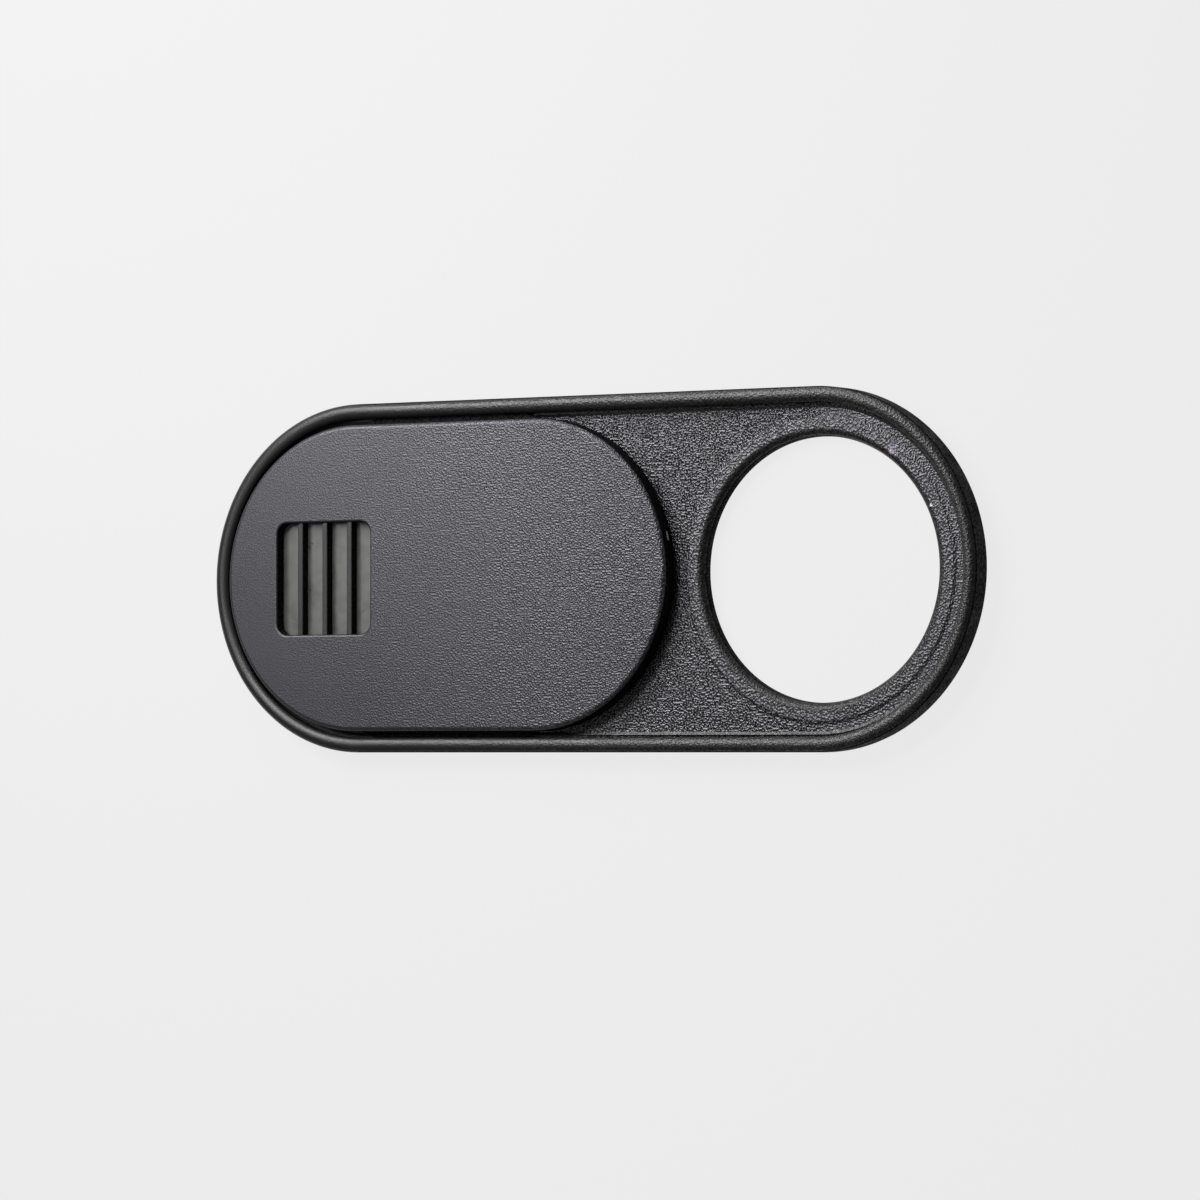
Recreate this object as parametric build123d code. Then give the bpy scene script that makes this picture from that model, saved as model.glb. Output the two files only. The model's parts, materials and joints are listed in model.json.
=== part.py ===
# Stick-on webcam cover: a moulded base with a raised rim and a camera window, a shutter that
# slides in a track under the rim, and an adhesive pad on the back.
# Millimetres. The cover lies on its adhesive back with its face up: +Z out of the face,
# X along its length, and the window at the +X end. The shutter stands open, at the -X end.
import os

from build123d import *

# Base: a flat floor inside a rim whose top is one low round
cover_length = 22.5
cover_width = 9.0
floor_thickness = 0.30
rim_height = 0.65
rim_width = 0.38
rim_crown = 0.10
base_edge_radius = 0.05

# Track: an undercut into the rim wall, a narrow relief at the rim's foot, and along the relief a low
# rail for the shutter to run over, sloping down to the floor
track_depth = 0.17
relief_width = 0.06
relief_depth = 0.06
rail_width = 0.07
rail_height = 0.03

# Camera window, with a low raised ring round it that slopes down to the floor
window_diameter = 6.56
window_edge_radius = 0.20
ring_width = 0.54
ring_height = 0.03
ring_slope = 0.09

# Adhesive pad, cut a little smaller than the base and wider than the window
pad_thickness = 0.10
pad_margin = 0.30
pad_window_margin = 0.35

# Shutter: a rounded plate whose thin flanges run in the track and taper in at their ends
shutter_length = 13.34
shutter_thickness = 0.44
shutter_edge_radius = 0.13
shutter_gap = 0.155
flange_thickness = 0.06
flange_lead = 1.6
flange_root = 0.15
run_clearance = 0.03
side_clearance = 0.04

# Finger grip: a square pocket in the shutter, with upright ribs left standing in it
grip_length = 2.9
grip_width = 2.9
grip_depth = 0.31
grip_corner_radius = 0.30
grip_edge_radius = 0.06
grip_inset = 1.57
rib_count = 3
rib_width = 0.16
rib_drop = 0.08

# Levels, from the pad's sticking face up
base_back = pad_thickness
floor_top = base_back + floor_thickness
ring_top = floor_top + ring_height
rail_top = floor_top + rail_height
shutter_back = max(ring_top, rail_top) + run_clearance
shutter_face = shutter_back + shutter_thickness
flange_top = shutter_back + flange_thickness
track_top = flange_top + run_clearance
track_floor = floor_top - relief_depth

# Plan sizes: the cover and the shutter are both straight-sided with half-round ends
end_x = (cover_length - cover_width) / 2
end_radius = cover_width / 2
window_radius = window_diameter / 2
shutter_width = cover_width - 2 * (rim_width + shutter_gap)
shutter_run = shutter_length - shutter_width
shutter_x = shutter_run / 2 - end_x
flange_span = cover_width - 2 * (rim_width - track_depth + side_clearance)
grip_x = shutter_x - shutter_length / 2 + grip_inset + grip_length / 2
grip_floor = shutter_face - grip_depth
rib_top = shutter_face - rib_drop


def stadium(inset=0):
    """The cover's outline in plan, moved inwards by inset."""
    return SlotOverall(cover_length - 2 * inset, cover_width - 2 * inset)


def patch(low_x, high_x, low_y, high_y):
    """A rectangle between two corners."""
    centre = Pos((low_x + high_x) / 2, (low_y + high_y) / 2)
    return centre * Rectangle(high_x - low_x, high_y - low_y)


def rim_path():
    """The cover's outline at the back of the base, run anticlockwise from one long side."""
    near_side = Line((-end_x, -end_radius, base_back), (end_x, -end_radius, base_back))
    window_end = CenterArc((end_x, 0, base_back), end_radius, -90, 180)
    far_side = Line((end_x, end_radius, base_back), (-end_x, end_radius, base_back))
    blind_end = CenterArc((-end_x, 0, base_back), end_radius, 90, 180)
    return Wire([near_side, window_end, far_side, blind_end])


def rail_section(foot):
    """The floor's edge across its width: it rises to the rail at the relief."""
    inner = foot + rail_width
    corners = [(foot, 0), (inner, 0), (inner, floor_thickness), (foot, floor_thickness + rail_height)]
    return make_face(Polyline(corners, close=True))


def rim_section():
    """The rim across its width: x runs inwards from the outer wall and y up from the back."""
    half_width = rim_width / 2
    crown_radius = (half_width**2 + rim_crown**2) / (2 * rim_crown)
    foot = rim_width + relief_width
    wall = patch(0, rim_width, 0, rim_height - rim_crown)
    crown = Pos(half_width, rim_height - crown_radius) * Circle(crown_radius)
    crown &= patch(0, rim_width, rim_height - rim_crown, rim_height)
    sole = patch(0, foot, 0, track_floor - base_back)
    track = patch(rim_width - track_depth, foot, track_floor - base_back, track_top - base_back)
    section = wall + crown + sole - track + rail_section(foot)
    back_corner = section.vertices().sort_by_distance((0, 0))[0]
    return fillet(back_corner, base_edge_radius)


def make_ring():
    """The window's wall and the raised ring round it: rounded inside, sloping to the floor outside."""
    plan = Circle(window_radius + ring_width) - Circle(window_radius)
    ring = Pos(end_x, 0, base_back) * extrude(plan, ring_top - base_back)
    window_edge = ring.edges().group_by(Axis.Z)[-1].sort_by(SortBy.RADIUS)[0]
    ring = fillet(window_edge, window_edge_radius)
    outer_edge = ring.edges().group_by(Axis.Z)[-1].sort_by(SortBy.RADIUS)[-1]
    outer_wall = ring.faces().filter_by(GeomType.CYLINDER).sort_by(SortBy.RADIUS)[-1]
    return chamfer(outer_edge, ring_height, ring_slope, reference=outer_wall)


def make_base():
    """Floor, rim and window ring in one moulding."""
    section_plane = Plane(origin=(-end_x, -end_radius, base_back), x_dir=(0, 1, 0), z_dir=(1, 0, 0))
    rim = sweep(section_plane * rim_section(), path=rim_path())
    floor = stadium(rim_width + relief_width + rail_width) - Pos(end_x, 0) * Circle(window_radius)
    floor = Pos(0, 0, base_back) * extrude(floor, floor_thickness)
    return rim + floor + make_ring()


def make_pad():
    """Die-cut adhesive pad under the floor, open round the window."""
    opening = Pos(end_x, 0) * Circle(window_radius + pad_window_margin)
    return extrude(stadium(pad_margin) - opening, pad_thickness)


def make_flange():
    """The shutter's two flanges, as one bar right across it that tapers in to the plate at both ends."""
    tip = Rectangle(shutter_run - flange_lead, flange_span)
    root = Rectangle(shutter_run + flange_lead, shutter_width - 2 * flange_root)
    bar = make_hull(tip.edges() + root.edges())
    return Pos(shutter_x, 0, shutter_back) * extrude(bar, flange_thickness)


def grip_ribs():
    """The ribs in plan: they part the pocket into equal grooves."""
    groove_width = (grip_length - rib_count * rib_width) / (rib_count + 1)
    return GridLocations(groove_width + rib_width, 0, rib_count, 1) * Rectangle(rib_width, grip_width)


def make_shutter():
    """Sliding plate with rounded upper edges, side flanges and a ribbed grip pocket."""
    plan = SlotOverall(shutter_length, shutter_width)
    plate = Pos(shutter_x, 0, shutter_back) * extrude(plan, shutter_thickness)
    plate = fillet(plate.edges().group_by(Axis.Z)[-1], shutter_edge_radius)
    pocket = RectangleRounded(grip_length, grip_width, grip_corner_radius)
    plate -= Pos(grip_x, 0, rib_top) * extrude(pocket, rib_drop)
    face = plate.faces().sort_by(Axis.Z)[-1]
    plate = plate.fillet(grip_edge_radius, face.inner_wires()[0].edges())
    grooves = Pos(grip_x, 0, grip_floor) * extrude(pocket - grip_ribs(), rib_top - grip_floor)
    return plate + make_flange() - grooves


os.makedirs("parts", exist_ok=True)
pieces = {
    "base_frame": make_base(),
    "shutter": make_shutter(),
    "adhesive_pad": make_pad(),
}
for node, piece in pieces.items():
    export_step(piece, f"parts/{node}.step")
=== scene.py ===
import json
import math

import bmesh
import bpy
from mathutils import Euler, Matrix, Vector


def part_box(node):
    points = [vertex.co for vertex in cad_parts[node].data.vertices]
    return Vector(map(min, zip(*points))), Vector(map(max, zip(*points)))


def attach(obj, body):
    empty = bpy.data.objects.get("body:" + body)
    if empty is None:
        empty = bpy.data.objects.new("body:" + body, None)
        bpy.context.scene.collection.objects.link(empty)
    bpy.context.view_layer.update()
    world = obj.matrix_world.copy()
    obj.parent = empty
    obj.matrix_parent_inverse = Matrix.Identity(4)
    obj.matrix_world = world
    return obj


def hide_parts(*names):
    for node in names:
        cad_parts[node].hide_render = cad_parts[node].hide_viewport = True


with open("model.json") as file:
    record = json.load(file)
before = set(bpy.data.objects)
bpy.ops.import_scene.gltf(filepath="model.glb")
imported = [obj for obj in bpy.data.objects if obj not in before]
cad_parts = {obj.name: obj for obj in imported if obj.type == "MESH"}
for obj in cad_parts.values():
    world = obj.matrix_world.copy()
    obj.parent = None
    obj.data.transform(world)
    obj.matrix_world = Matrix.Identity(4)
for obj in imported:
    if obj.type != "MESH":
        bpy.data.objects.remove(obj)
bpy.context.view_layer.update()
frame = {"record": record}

# Sizes are in millimetres, and a mesh is brought to metres when it becomes a piece
mm = 0.001
tiny = 0.0005  # lengths under this count as none
quarter = math.pi / 2
squareOn = 0.9999  # a normal that lies this far along an axis is square to it
sharpAngle = 35  # degrees of bend past which an edge is not shaded round


def millimetres(node):
    low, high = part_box(node)
    return low / mm, high / mm


baseLow, baseHigh = millimetres("base_frame")
shutterLow, shutterHigh = millimetres("shutter")
padLow, padHigh = millimetres("adhesive_pad")
windowMount = next(m for m in frame["record"]["mounts"] if m["name"] == "camera_window")
windowX = windowMount["pos_m"][0] / mm
windowRadius = windowMount["dims"]["r_mm"]

# Both mouldings are straight-sided with half-round ends
outerRadius = (baseHigh.y - baseLow.y) / 2
endX = baseHigh.x - outerRadius
print("frame read: cover", round(baseHigh.x - baseLow.x, 2), "x", round(2 * outerRadius, 2), "mm")


# Mesh helpers

def addRun(bm, points):  # a chain of edges through the points, up to the vertex that it returns
    verts = [bm.verts.new(point) for point in points]
    for pair in zip(verts, verts[1:]):
        bm.edges.new(pair)
    return verts[-1]


def joinOn(bm, vert, point):  # one straight edge on from a vertex
    end = bm.verts.new(point)
    bm.edges.new((vert, end))
    return end


def roundOn(bm, vert, centre, angle, steps):  # an arc on from a vertex, in the section's plane
    made = bmesh.ops.spin(bm, geom=[vert], cent=centre, axis=(1, 0, 0), angle=angle, steps=steps)
    return made["geom_last"][0]


def looseEdges(bm):
    return [edge for edge in bm.edges if edge.is_wire]


def onlyVerts(geom):
    return [item for item in geom if isinstance(item, bmesh.types.BMVert)]


def onlyEdges(geom):
    return [item for item in geom if isinstance(item, bmesh.types.BMEdge)]


def spinWindow(bm, steps):  # carries the section drawn so far once round the window
    bmesh.ops.spin(bm, geom=looseEdges(bm) + bm.verts[:], cent=(windowX, 0, 0), axis=(0, 0, 1),
                   angle=2 * math.pi, steps=steps, use_merge=True)


def sweepRound(bm, farX, nearX, steps):  # carries the loose section round both ends and along both sides
    section = looseEdges(bm)
    geom = section + list(dict.fromkeys(vert for edge in section for vert in edge.verts))
    for centreX, runX in ((farX, nearX - farX), (nearX, farX - nearX)):
        turned = bmesh.ops.spin(
            bm, geom=geom, cent=(centreX, 0, 0), axis=(0, 0, 1), angle=math.pi, steps=steps)
        geom = bmesh.ops.extrude_edge_only(bm, edges=onlyEdges(turned["geom_last"]))["geom"]
        bmesh.ops.translate(bm, vec=(runX, 0, 0), verts=onlyVerts(geom))
        leading = [edge for edge in onlyEdges(geom) if edge.is_boundary
                   and abs(edge.verts[0].co.x - edge.verts[1].co.x) < tiny]
        geom = onlyVerts(geom) + leading
    bmesh.ops.remove_doubles(bm, verts=bm.verts, dist=tiny)


def fillLevel(bm, level):  # flat skin between the open loops at one height
    loops = [edge for edge in bm.edges
             if edge.is_boundary and all(abs(vert.co.z - level) < tiny for vert in edge.verts)]
    bmesh.ops.triangle_fill(bm, use_beauty=True, edges=loops)


def facesAt(bm, level):
    return [face for face in bm.faces if abs(face.calc_center_median().z - level) < tiny]


def addObject(name, data):
    made = bpy.data.objects.new(name, data)
    bpy.context.scene.collection.objects.link(made)
    return made


def addMesh(bm, name, materials):
    mesh = bpy.data.meshes.new(name)
    bm.to_mesh(mesh)
    bm.free()
    for material in materials:
        mesh.materials.append(material)
    return addObject(name, mesh)


def finishPiece(bm, name, materials, body, node):  # to metres, shaded and riding its body
    bmesh.ops.recalc_face_normals(bm, faces=bm.faces)
    bmesh.ops.scale(bm, vec=(mm, mm, mm), verts=bm.verts)
    bm.normal_update()
    for face in bm.faces:
        face.smooth = abs(face.normal.z) < squareOn
    for edge in bm.edges:
        edge.smooth = edge.calc_face_angle(0) < math.radians(sharpAngle)
    piece = addMesh(bm, name, materials)
    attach(piece, body)
    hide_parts(node)
    print(name, "made:", len(piece.data.polygons), "faces")


# Materials

def linear(hexColour):  # sRGB hex to the linear colour that shaders take
    channels = [int(hexColour[i:i + 2], 16) / 255 for i in (1, 3, 5)]
    return [c / 12.92 if c <= 0.04045 else ((c + 0.055) / 1.055) ** 2.4 for c in channels] + [1.0]


def addNode(tree, kind, settings=None, inputs=None, links=None):
    node = tree.nodes.new(kind)
    for name, value in (settings or {}).items():
        setattr(node, name, value)
    for name, value in (inputs or {}).items():
        node.inputs[name].default_value = value
    for name, source in (links or {}).items():
        tree.links.new(source, node.inputs[name])
    return node


def newMaterial(name):
    material = bpy.data.materials.new(name)
    material.use_nodes = True
    material.node_tree.nodes.clear()
    return material, material.node_tree


def perMetre(sizeMm):  # a texture scale from the size of one grain
    return 1 / (sizeMm * mm)


# the colour sockets of a Mix node go by number, because its other kinds share their names
mixShare, mixFrom, mixTo, mixed = 0, 6, 7, 2

# the grain is worn smooth towards the end that the finger pushes, where a finish wears at all
wear = {"smoothX": -9.5, "freshX": 2.6}

# where most values of each noise lie
grainRange = {"From Min": 0.40, "From Max": 0.60}
patchRange = {"From Min": 0.3, "From Max": 0.7}


def blackPlastic(name, look):  # dark pigment under a grained, softly shining skin
    material, tree = newMaterial(name)
    place = addNode(tree, "ShaderNodeTexCoord").outputs["Object"]
    along = addNode(tree, "ShaderNodeSeparateXYZ", links={"Vector": place})
    depth = addNode(tree, "ShaderNodeMapRange", inputs={
        "From Min": wear["smoothX"] * mm, "From Max": wear["freshX"] * mm,
        "To Min": look["wornGrain"], "To Max": 1.0}, links={"Value": along.outputs["X"]})
    grain = addNode(tree, "ShaderNodeTexNoise", inputs={
        "Scale": perMetre(look["grainMm"]), "Detail": 0.0}, links={"Vector": place})
    bump = addNode(tree, "ShaderNodeBump", inputs={"Distance": look["grainHeightMm"] * mm}, links={
        "Height": grain.outputs["Fac"], "Strength": depth.outputs["Result"]})

    # the grain's pits are painted darker and its peaks paler, a painted shade and highlight, and the peaks
    # glint: -1 in a pit, 1 on a peak, and less where worn
    peaks = addNode(tree, "ShaderNodeMapRange", inputs={
        **grainRange, "To Min": -1.0, "To Max": 1.0}, links={"Value": grain.outputs["Fac"]})
    spread = addNode(tree, "ShaderNodeMath", {"operation": "MULTIPLY"}, links={
        0: peaks.outputs["Result"], 1: depth.outputs["Result"]})
    gloss = addNode(tree, "ShaderNodeMath", {"operation": "MULTIPLY_ADD"}, {
        1: look["glint"], 2: look["gloss"]}, {0: spread.outputs[0]})
    share = addNode(tree, "ShaderNodeMath", {"operation": "MULTIPLY_ADD"}, {1: 0.5, 2: 0.5}, {
        0: spread.outputs[0]})
    colour = addNode(tree, "ShaderNodeMix", {"data_type": "RGBA"}, {
        mixFrom: linear(look["dark"]), mixTo: linear(look["pale"])}, {mixShare: share.outputs[0]})

    # single nicks and specks, and painted glints, each a soft-edged spot of colour round one point
    for dot in look.get("marksAndGlints", []):
        radius = dot["size"] * mm / 2
        away = addNode(tree, "ShaderNodeVectorMath", {"operation": "DISTANCE"}, {
            1: [value * mm for value in dot["at"]]}, {0: place})
        spot = addNode(tree, "ShaderNodeMapRange", inputs={
            "From Min": radius / 2, "From Max": radius, "To Min": 1.0, "To Max": 0.0}, links={
            "Value": away.outputs["Value"]})
        colour = addNode(tree, "ShaderNodeMix", {"data_type": "RGBA"}, {mixTo: linear(dot["colour"])}, {
            mixShare: spot.outputs["Result"], mixFrom: colour.outputs[mixed]})

    # broad patches of slightly different sheen
    patches = addNode(tree, "ShaderNodeTexNoise", inputs={
        "Scale": perMetre(look["mottleMm"]), "Detail": 3.0}, links={"Vector": place})
    rough = addNode(tree, "ShaderNodeMapRange", inputs={
        **patchRange, "To Min": look["roughLow"], "To Max": look["roughHigh"]}, links={
        "Value": patches.outputs["Fac"]})
    shader = addNode(tree, "ShaderNodeBsdfPrincipled", inputs={
        "IOR": 1.54, "Metallic": 0.0, "Specular Tint": linear(look["tint"])}, links={
        "Base Color": colour.outputs[mixed], "Roughness": rough.outputs["Result"],
        "Specular IOR Level": gloss.outputs[0], "Normal": bump.outputs["Normal"]})
    addNode(tree, "ShaderNodeOutputMaterial", links={"Surface": shader.outputs["BSDF"]})
    return material


# a nick with a scuff beside it and a white speck, all on the window's edge
windowMarks = [
    {"at": (8.84, 2.94, 0.43), "size": 0.40, "colour": "#5a5462"},
    {"at": (8.78, 2.85, 0.42), "size": 0.18, "colour": "#a39bac"},
    {"at": (8.69, 2.80, 0.41), "size": 0.12, "colour": "#3c2228"},
    {"at": (9.88, 1.51, 0.42), "size": 0.10, "colour": "#ffffff"}]

# a painted glint: a short upright row of white spots on the shutter's round end, standing in for a
# highlight
paintedEndGlint = [
    {"at": (2.52, y, 0.60), "size": 0.10, "colour": "#ffffff"} for y in (0.82, 0.88, 0.94, 1.00)]

# Spark-eroded ABS of the floor: coarse worm-like grain that glints
sparkLook = {
    "dark": "#0e0e10", "pale": "#1e1e22", "grainMm": 0.050, "grainHeightMm": 0.045, "mottleMm": 1.2,
    "roughLow": 0.38, "roughHigh": 0.46, "gloss": 1.1, "glint": 0.7, "tint": "#faf8ff", "wornGrain": 1.0,
    "marksAndGlints": windowMarks}
sparkErodedAbs = blackPlastic("spark_eroded_abs", sparkLook)

# The same skin where the mould was dressed round the window: a shallower, calmer grain
dressedAbs = blackPlastic("dressed_spark_abs", {**sparkLook, "grainHeightMm": 0.032, "glint": 0.3})

# Satin ABS of the rim, from a blasted mould: fine enough to carry a soft highlight
satinLook = {
    "dark": "#0e0e0e", "pale": "#1e1d1d", "grainMm": 0.05, "grainHeightMm": 0.015, "mottleMm": 0.8,
    "roughLow": 0.37, "roughHigh": 0.45, "gloss": 0.6, "glint": 0.1, "tint": "#ffffff", "wornGrain": 0.08,
    "marksAndGlints": windowMarks}
satinAbs = blackPlastic("satin_abs", satinLook)

# The window's rounding, rubbed duller than the rim
dullAbs = blackPlastic("dull_satin_abs", {**satinLook, "gloss": 0.42})

# Upright walls, drawn straight out of the mould: dead matt, so they stay black; they carry the painted
# glint on the shutter's round end
mattWallAbs = blackPlastic("matt_wall_abs", {
    "dark": "#121212", "pale": "#191817", "grainMm": 0.06, "grainHeightMm": 0.008, "mottleMm": 0.5,
    "roughLow": 0.6, "roughHigh": 0.8, "gloss": 0.08, "glint": 0.05, "tint": "#ffffff", "wornGrain": 1.0,
    "marksAndGlints": paintedEndGlint})

# Fine even grain of the shutter's face, a little bluish
fineGrainAbs = blackPlastic("fine_grain_abs", {
    "dark": "#0e0e10", "pale": "#1e1e22", "grainMm": 0.045, "grainHeightMm": 0.026, "mottleMm": 2.0,
    "roughLow": 0.40, "roughHigh": 0.46, "gloss": 0.95, "glint": 0.3, "tint": "#f8f6ff", "wornGrain": 0.12})

# Grip grooves from the polished part of the mould: smooth, with an uneven sheen; their paler colour is a
# painted sheen
polishedPaintedSheenAbs = blackPlastic("polished_painted_sheen_abs", {
    "dark": "#4c4c4a", "pale": "#545452", "grainMm": 0.25, "grainHeightMm": 0.01, "mottleMm": 0.6,
    "roughLow": 0.26, "roughHigh": 0.60, "gloss": 0.9, "glint": 0.1, "tint": "#ffffff", "wornGrain": 0.3})

# Acrylic adhesive: nearly black, tacky and rippled where its liner was peeled
acrylicAdhesive = blackPlastic("acrylic_adhesive", {
    "dark": "#1d1d1f", "pale": "#1f1f21", "grainMm": 0.35, "grainHeightMm": 0.03, "mottleMm": 1.5,
    "roughLow": 0.2, "roughHigh": 0.4, "gloss": 0.5, "glint": 0.02, "tint": "#ffffff", "wornGrain": 1.0})

print("materials made")


# Base: floor, rim with its undercut track, and the raised ring round the window

baseForm = {
    "floor": 0.30, "rimWidth": 0.38, "rimCrown": 0.10, "backEdge": 0.05,
    "trackDepth": 0.17, "trackTop": 0.45, "reliefWidth": 0.06, "reliefDepth": 0.06,
    "railWidth": 0.07, "railHeight": 0.03,
    "windowEdge": 0.20, "ringWidth": 0.54, "ringHeight": 0.03, "ringSlope": 0.09,
    "mattBelow": 0.5, "mattOutside": 0.72,  # how level a face still is where it goes over to matt
    "endSteps": 128, "windowSteps": 256, "crownSteps": 32, "edgeSteps": 10}


def makeBase():
    form = baseForm
    bm = bmesh.new()
    back = baseLow.z
    floorTop = back + form["floor"]

    # ring and window wall, from the ring's foot over its top and down to the back
    ringTop = floorTop + form["ringHeight"]
    ringOuter = windowRadius + form["ringWidth"]
    ringInner = ringOuter - form["ringSlope"]
    windowEdge = form["windowEdge"]
    edgeOuter = windowRadius + windowEdge
    run = addRun(bm, [
        (windowX, -ringOuter, floorTop), (windowX, -ringInner, ringTop), (windowX, -edgeOuter, ringTop)])
    run = roundOn(bm, run, (windowX, -edgeOuter, ringTop - windowEdge), -quarter, form["edgeSteps"])
    joinOn(bm, run, (windowX, -windowRadius, back))
    spinWindow(bm, form["windowSteps"])

    # rim: rail, relief, track, low round crown, outer wall and back edge
    trackFloor = floorTop - form["reliefDepth"]
    trackTop = back + form["trackTop"]
    lip = outerRadius - form["rimWidth"]
    trackWall = lip + form["trackDepth"]
    foot = lip - form["reliefWidth"]
    railFoot = foot - form["railWidth"]
    crown = form["rimCrown"]
    halfWidth = form["rimWidth"] / 2
    crownMiddle = outerRadius - halfWidth
    crownRadius = (halfWidth ** 2 + crown ** 2) / (2 * crown)
    crownAngle = 2 * math.asin(halfWidth / crownRadius)
    run = addRun(bm, [
        (endX, -railFoot, floorTop), (endX, -foot, floorTop + form["railHeight"]),
        (endX, -foot, trackFloor), (endX, -trackWall, trackFloor), (endX, -trackWall, trackTop),
        (endX, -lip, trackTop), (endX, -lip, baseHigh.z - crown)])
    run = roundOn(bm, run, (endX, -crownMiddle, baseHigh.z - crownRadius), crownAngle, form["crownSteps"])
    backEdge = form["backEdge"]
    run = joinOn(bm, run, (endX, -outerRadius, back + backEdge))
    roundOn(bm, run, (endX, backEdge - outerRadius, back + backEdge), quarter, form["edgeSteps"])
    sweepRound(bm, endX, -endX, form["endSteps"])
    fillLevel(bm, floorTop)
    fillLevel(bm, back)

    finishes = [satinAbs, sparkErodedAbs, mattWallAbs, dressedAbs, dullAbs]
    bm.normal_update()
    for face in bm.faces:
        middle = face.calc_center_median()
        level = abs(face.normal.z)
        fromSpine = math.hypot(max(abs(middle.x) - endX, 0), middle.y)
        fromWindow = math.hypot(middle.x - windowX, middle.y)
        outside = fromSpine > crownMiddle and level < form["mattOutside"] and middle.x > -endX
        finish = satinAbs
        if outside or level < form["mattBelow"]:
            finish = mattWallAbs
        elif fromWindow < edgeOuter and middle.z > back + tiny:
            finish = dullAbs
        elif fromSpine < railFoot and middle.z > floorTop - tiny:
            dressed = fromWindow < ringInner or middle.x > windowX
            finish = dressedAbs if dressed else sparkErodedAbs
        face.material_index = finishes.index(finish)
    finishPiece(bm, "base_moulding", finishes, "base", "base_frame")


# Shutter: rounded plate with flanges in the track and a ribbed grip pocket

shutterForm = {
    "edge": 0.13, "gap": 0.155, "flange": 0.06, "flangeLead": 0.8,
    "gripLength": 2.9, "gripWidth": 2.9, "gripDepth": 0.31, "gripInset": 1.57,
    "gripCorner": 0.30, "gripEdge": 0.06,
    "ribs": 3, "ribWidth": 0.16, "ribDrop": 0.08, "ribEdge": 0.025,
    "mattBelow": 0.55,  # how level a face still is where it goes over to matt
    "endSteps": 128, "edgeSteps": 12, "cornerSteps": 12, "gripEdgeSteps": 6, "ribEdgeSteps": 3}


def drawFlanges(bm, flangeTop, reach, nearX, farX):  # the low strip of each straight side, drawn out
    strips = [face for face in bm.faces if abs(face.normal.y) > squareOn
              and nearX < face.calc_center_median().x < farX and face.calc_center_median().z < flangeTop]
    for strip in strips:
        side = math.copysign(1, strip.calc_center_median().y)
        tip = bmesh.ops.extrude_discrete_faces(bm, faces=[strip])["faces"][0]
        bmesh.ops.translate(bm, vec=(0, side * reach, 0), verts=tip.verts[:])
        for inwards, shoulderX in ((1, nearX), (-1, farX)):  # shorter at its tip
            corner = [vert for vert in tip.verts if abs(vert.co.x - shoulderX) < tiny]
            bmesh.ops.translate(bm, vec=(inwards * shutterForm["flangeLead"], 0, 0), verts=corner)


def sinkPocket(bm, gripX, top):  # a rounded square let into the face with a soft edge
    form = shutterForm
    soft = form["gripEdge"]
    grip = bmesh.ops.create_grid(bm, x_segments=1, y_segments=1, size=0.5)["verts"]
    bmesh.ops.scale(bm, vec=(form["gripLength"] + 2 * soft, form["gripWidth"] + 2 * soft, 1), verts=grip)
    bmesh.ops.translate(bm, vec=(gripX, 0, top), verts=grip)
    bmesh.ops.bevel(bm, geom=grip, offset=form["gripCorner"] + soft, offset_type="OFFSET",
                    affect="VERTICES", segments=form["cornerSteps"], profile=0.5, material=-1)
    pocket = max((face for face in facesAt(bm, top) if abs(face.calc_center_median().x - gripX) < tiny),
                 key=lambda face: face.calc_area())
    steps = form["gripEdgeSteps"]
    for step in range(steps):
        start, end = (quarter * k / steps for k in (step, step + 1))
        inwards = soft * (math.sin(end) - math.sin(start))
        down = soft * (math.cos(start) - math.cos(end))
        bmesh.ops.inset_region(bm, faces=[pocket], thickness=inwards, depth=-down, use_boundary=True,
                               use_even_offset=True)
    floor = bmesh.ops.extrude_discrete_faces(bm, faces=[pocket])["faces"][0]
    bmesh.ops.translate(bm, vec=(0, 0, soft - form["ribDrop"]), verts=floor.verts[:])


def cutGrooves(bm, gripX, ribTop):  # the pocket's floor sunk on both sides of each rib
    form = shutterForm
    grooveWidth = (form["gripLength"] - form["ribs"] * form["ribWidth"]) / (form["ribs"] + 1)
    firstRib = gripX - form["gripLength"] / 2 + grooveWidth
    ribSides = []
    for rib in range(form["ribs"]):
        leftX = firstRib + rib * (grooveWidth + form["ribWidth"])
        ribSides.append((leftX, leftX + form["ribWidth"]))
    cuts = [cutX for sides in ribSides for cutX in sides]
    for cutX in cuts:
        flats = facesAt(bm, ribTop)
        edges = list(dict.fromkeys(edge for face in flats for edge in face.edges))
        verts = list(dict.fromkeys(vert for face in flats for vert in face.verts))
        bmesh.ops.bisect_plane(bm, geom=flats + edges + verts, plane_co=(cutX, 0, 0), plane_no=(1, 0, 0))
    grooves = [face for face in facesAt(bm, ribTop)
               if not any(leftX < face.calc_center_median().x < rightX for leftX, rightX in ribSides)]
    for floor in bmesh.ops.extrude_discrete_faces(bm, faces=grooves)["faces"]:
        bmesh.ops.translate(bm, vec=(0, 0, form["ribDrop"] - form["gripDepth"]), verts=floor.verts[:])
    ribEdges = [edge for edge in bm.edges if all(abs(vert.co.z - ribTop) < tiny for vert in edge.verts)
                and any(all(abs(vert.co.x - cutX) < tiny for vert in edge.verts) for cutX in cuts)]
    bmesh.ops.bevel(bm, geom=ribEdges, offset=form["ribEdge"], offset_type="OFFSET", affect="EDGES",
                    segments=form["ribEdgeSteps"], profile=0.5, material=-1)


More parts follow.
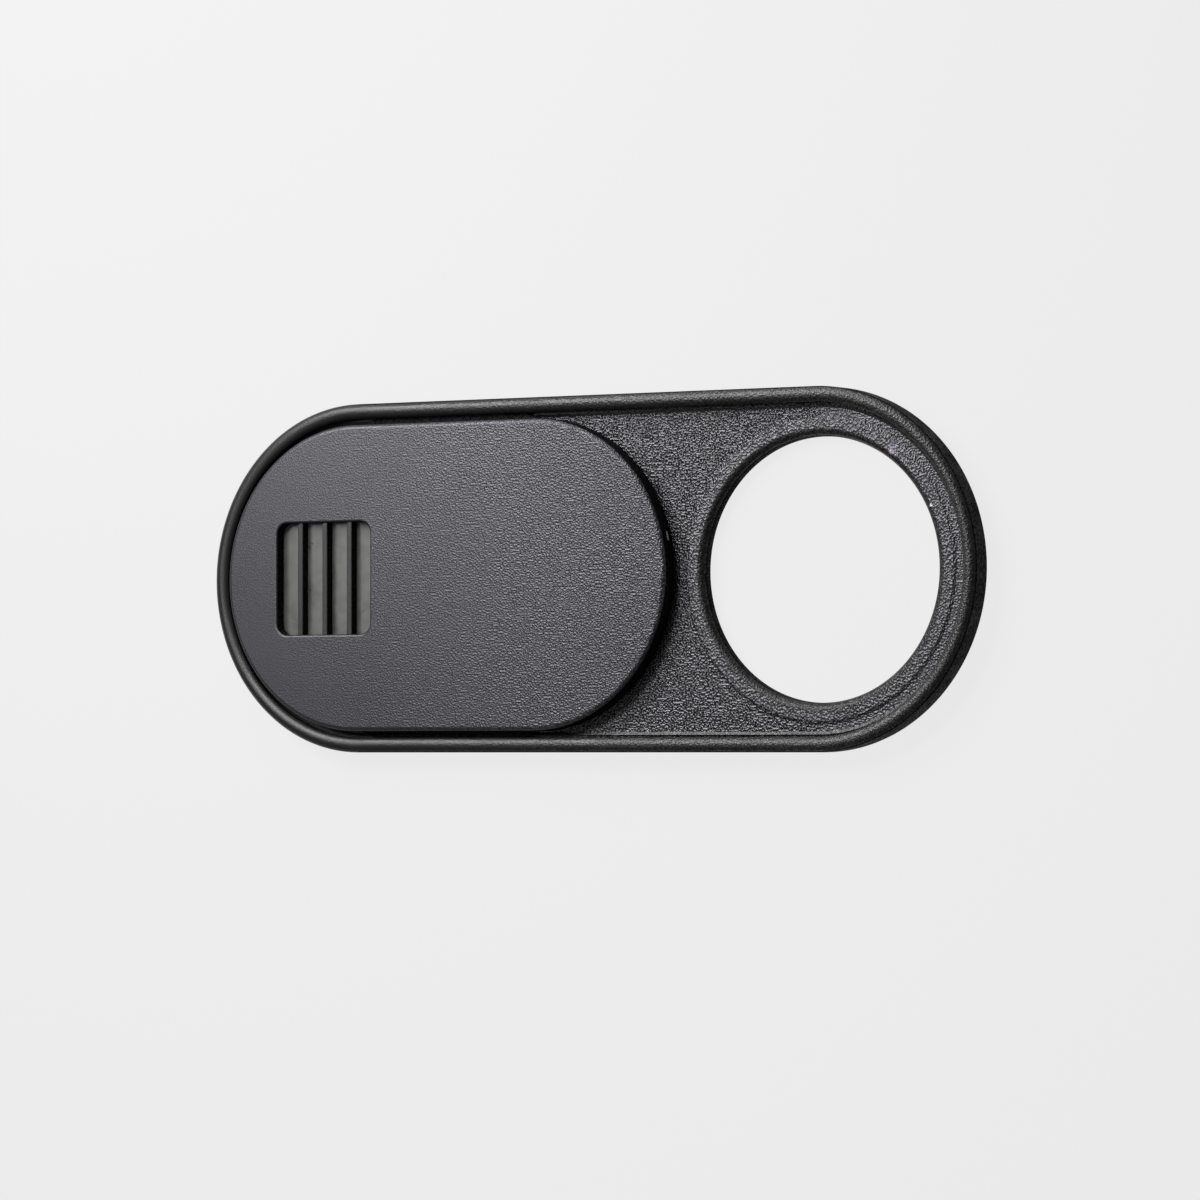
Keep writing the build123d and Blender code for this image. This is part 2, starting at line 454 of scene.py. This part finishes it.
def makeShutter():
    form = shutterForm
    bm = bmesh.new()
    back = shutterLow.z
    top = shutterHigh.z
    flangeTop = back + form["flange"]
    ribTop = top - form["ribDrop"]
    halfWidth = outerRadius - baseForm["rimWidth"] - form["gap"]
    farX = shutterHigh.x - halfWidth
    nearX = shutterLow.x + halfWidth
    gripX = shutterLow.x + form["gripInset"] + form["gripLength"] / 2

    # plate: rounded upper edge and side wall, carried round the outline
    edge = form["edge"]
    run = bm.verts.new((farX, edge - halfWidth, top))
    run = roundOn(bm, run, (farX, edge - halfWidth, top - edge), quarter, form["edgeSteps"])
    run = joinOn(bm, run, (farX, -halfWidth, flangeTop))
    joinOn(bm, run, (farX, -halfWidth, back))
    sweepRound(bm, farX, nearX, form["endSteps"])
    fillLevel(bm, back)
    drawFlanges(bm, flangeTop, shutterHigh.y - halfWidth, nearX, farX)
    sinkPocket(bm, gripX, top)
    cutGrooves(bm, gripX, ribTop)
    fillLevel(bm, top)

    finishes = [fineGrainAbs, polishedPaintedSheenAbs, mattWallAbs, satinAbs]
    bm.normal_update()
    for face in bm.faces:
        middle = face.calc_center_median()
        inGrip = abs(middle.x - gripX) < form["gripLength"] / 2 and abs(middle.y) < form["gripWidth"] / 2
        finish = fineGrainAbs
        if abs(face.normal.z) < form["mattBelow"] or abs(middle.y) > halfWidth:
            finish = mattWallAbs
        elif inGrip and middle.z > back + tiny:
            # groove floors take the paler colour that paints in their sheen
            finish = polishedPaintedSheenAbs if middle.z < ribTop - form["ribEdge"] else satinAbs
        face.material_index = finishes.index(finish)
    finishPiece(bm, "shutter_plate", finishes, "shutter", "shutter")


# Adhesive pad: die-cut sheet, open round the window

padForm = {"windowMargin": 0.35, "endSteps": 96, "windowSteps": 160}


def makePad():
    form = padForm
    bm = bmesh.new()
    opening = windowRadius + form["windowMargin"]
    addRun(bm, [(windowX, -opening, padHigh.z), (windowX, -opening, padLow.z)])
    spinWindow(bm, form["windowSteps"])
    padRadius = (padHigh.y - padLow.y) / 2
    padEndX = padHigh.x - padRadius
    addRun(bm, [(padEndX, -padRadius, padHigh.z), (padEndX, -padRadius, padLow.z)])
    sweepRound(bm, padEndX, -padEndX, form["endSteps"])
    fillLevel(bm, padHigh.z)
    fillLevel(bm, padLow.z)
    finishPiece(bm, "pad_sheet", [acrylicAdhesive], "base", "adhesive_pad")


makeBase()
makeShutter()
makePad()


# Stage: pale floor, soft light and the camera

stageForm = {
    "floorColour": "#eeeeee", "bounceColour": "#777777", "floorGlow": 0.93,
    "floorRadius": 2000, "floorSteps": 96, "ambient": 0.10}


def makeFloor():
    # matt paper: even and pale where it is seen or mirrored, and dimmer in what it throws back
    material, tree = newMaterial("studio_floor")
    path = addNode(tree, "ShaderNodeLightPath")
    seen = addNode(tree, "ShaderNodeMath", {"operation": "MAXIMUM"}, links={
        0: path.outputs["Is Camera Ray"], 1: path.outputs["Is Glossy Ray"]})
    seen = addNode(tree, "ShaderNodeMath", {"operation": "MAXIMUM"}, links={
        0: seen.outputs[0], 1: path.outputs["Is Transmission Ray"]})
    pale = linear(stageForm["floorColour"])
    colour = addNode(tree, "ShaderNodeMix", {"data_type": "RGBA"}, {
        mixFrom: linear(stageForm["bounceColour"]), mixTo: pale}, {mixShare: seen.outputs[0]})
    matte = addNode(tree, "ShaderNodeBsdfDiffuse", links={"Color": colour.outputs[mixed]})
    glow = addNode(tree, "ShaderNodeEmission", inputs={"Color": pale, "Strength": 1.0})
    share = addNode(tree, "ShaderNodeMath", {"operation": "MULTIPLY"}, {1: stageForm["floorGlow"]}, {
        0: seen.outputs[0]})
    mix = addNode(tree, "ShaderNodeMixShader", links={
        0: share.outputs[0], 1: matte.outputs[0], 2: glow.outputs[0]})
    addNode(tree, "ShaderNodeOutputMaterial", links={"Surface": mix.outputs[0]})

    bm = bmesh.new()
    bmesh.ops.create_circle(
        bm, cap_ends=True, segments=stageForm["floorSteps"], radius=stageForm["floorRadius"] * mm)
    bmesh.ops.translate(bm, vec=(0, 0, (padLow.z - tiny) * mm), verts=bm.verts)
    floor = addMesh(bm, "studio_floor", [material])


# square lamps at one distance, by how far each leans from overhead along the cover and across it, in
# degrees, and its power in watts
lampForm = {"away": 48, "side": 14}
lamps = {
    "sideBox": {"lean": (-45, 43), "watts": 0.0090},
    "softbox": {"lean": (-15, 30), "watts": 0.0092},
    "lowBox": {"lean": (-15, 62), "watts": 0.0060},
    "topCard": {"lean": (-34, 17), "watts": 0.0044},
    "frontCard": {"lean": (-15, -15), "watts": 0.0012}}


def makeLamps():
    for name, form in lamps.items():
        lamp = bpy.data.lights.new(name, "AREA")
        lamp.shape = "SQUARE"
        lamp.size = lampForm["side"] * mm
        lamp.energy = form["watts"]
        holder = addObject(name, lamp)
        back = Vector([math.tan(math.radians(lean)) for lean in form["lean"]] + [1]).normalized()
        across = (Vector((1, 0, 0)) - back * back.x).normalized()
        holder.matrix_world = Matrix((across, back.cross(across), back)).transposed().to_4x4()
        holder.location = back * lampForm["away"] * mm


def makeWorld():
    world = bpy.data.worlds.new("studio")
    world.use_nodes = True
    tree = world.node_tree
    tree.nodes.clear()
    dim = addNode(tree, "ShaderNodeBackground", inputs={
        "Color": linear(stageForm["floorColour"]), "Strength": stageForm["ambient"]})
    addNode(tree, "ShaderNodeOutputWorld", links={"Surface": dim.outputs[0]})
    bpy.context.scene.world = world


# the camera stands over the window's end and looks down across the cover
cameraForm = {
    "lens": 165.28, "sensor": 36.0, "nearest": 5, "farthest": 10000,
    "distance": 139.24, "aside": 0.198, "below": -0.650,
    "yaw": 31.602, "pitch": 1.518, "roll": -0.051}


def makeCamera():
    form = cameraForm
    lens = bpy.data.cameras.new("camera")
    lens.sensor_fit = "HORIZONTAL"
    lens.sensor_width = form["sensor"]
    lens.lens = form["lens"]
    lens.clip_start = form["nearest"] * mm
    lens.clip_end = form["farthest"] * mm
    camera = addObject("camera", lens)
    turn = Euler([math.radians(form[k]) for k in ("pitch", "yaw", "roll")], "ZXY").to_matrix()
    place = turn @ Vector((form["aside"], form["below"], form["distance"])) + Vector((0, 0, baseLow.z))
    camera.matrix_world = turn.to_4x4()
    camera.location = place * mm
    bpy.context.scene.camera = camera


makeFloor()
makeLamps()
makeWorld()
makeCamera()
bpy.context.scene.view_settings.view_transform = "Standard"
print("stage made")
